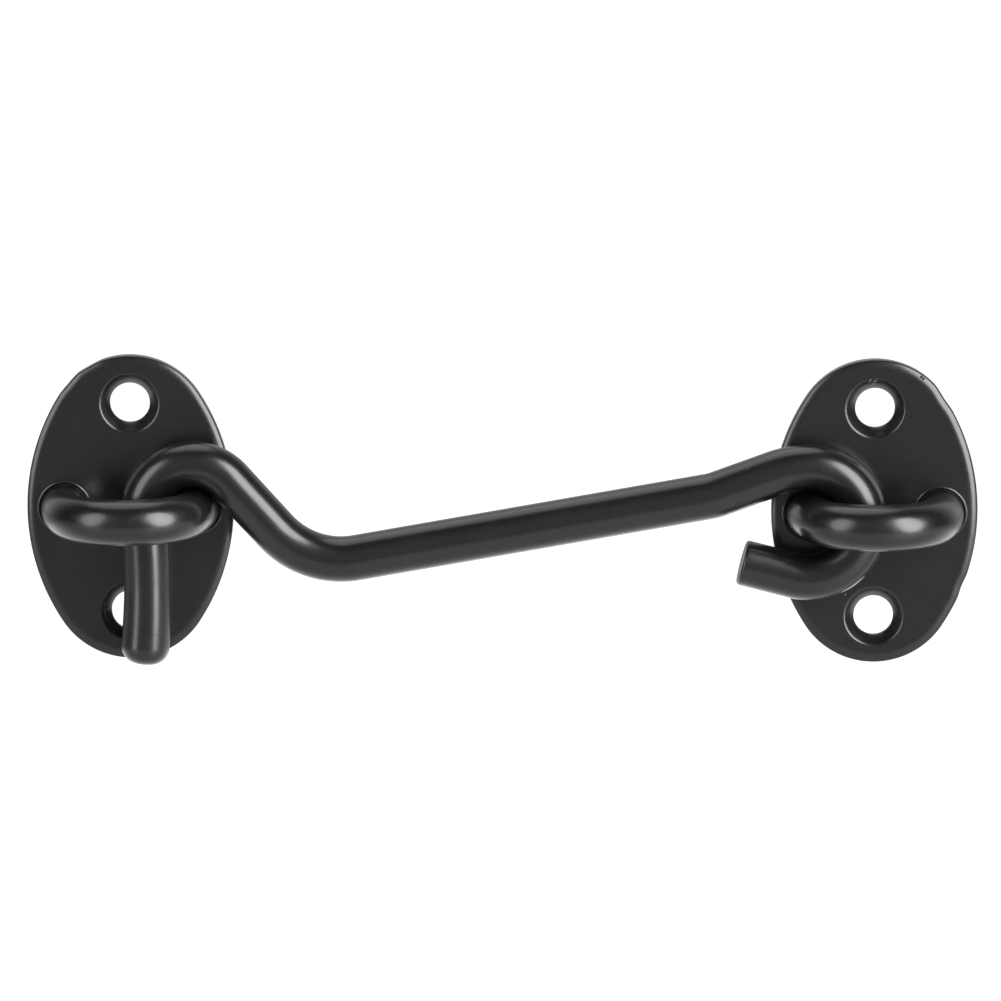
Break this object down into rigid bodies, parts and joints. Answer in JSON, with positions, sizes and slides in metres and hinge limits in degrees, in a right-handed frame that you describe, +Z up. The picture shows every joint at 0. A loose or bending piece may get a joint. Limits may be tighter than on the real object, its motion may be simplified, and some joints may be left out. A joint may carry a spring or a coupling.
{
  "type": "cabin hook",
  "caption": "Bent wire hook that swings on a stapled oval plate and drops over the staple of a matching plate, to hold a door, gate or shutter.",
  "frame": {"origin": "centre of the pivot plate's back face, on the surface it is screwed to", "axes": "+X right along the wall, from the catch towards the pivot, +Y into the wall, +Z up; the fronts face -Y"},
  "size_m": [0.1243, 0.0168, 0.0407],
  "materials": {
    "black_powder_coat": "satin black powder coat on steel"
  },
  "bodies": {
    "plates": {"pivot_plate": "black_powder_coat", "pivot_staple": "black_powder_coat", "catch_plate": "black_powder_coat", "catch_staple": "black_powder_coat"},
    "hook": {"hook_bar": "black_powder_coat"}
  },
  "joints": [
    {"name": "hook_lift", "type": "hinge", "parent": "plates", "child": "hook", "pos_m": [-0.00834, -0.0055, 0], "axis": [0, 1, 0], "range_deg": [0, 145]}
  ]
}
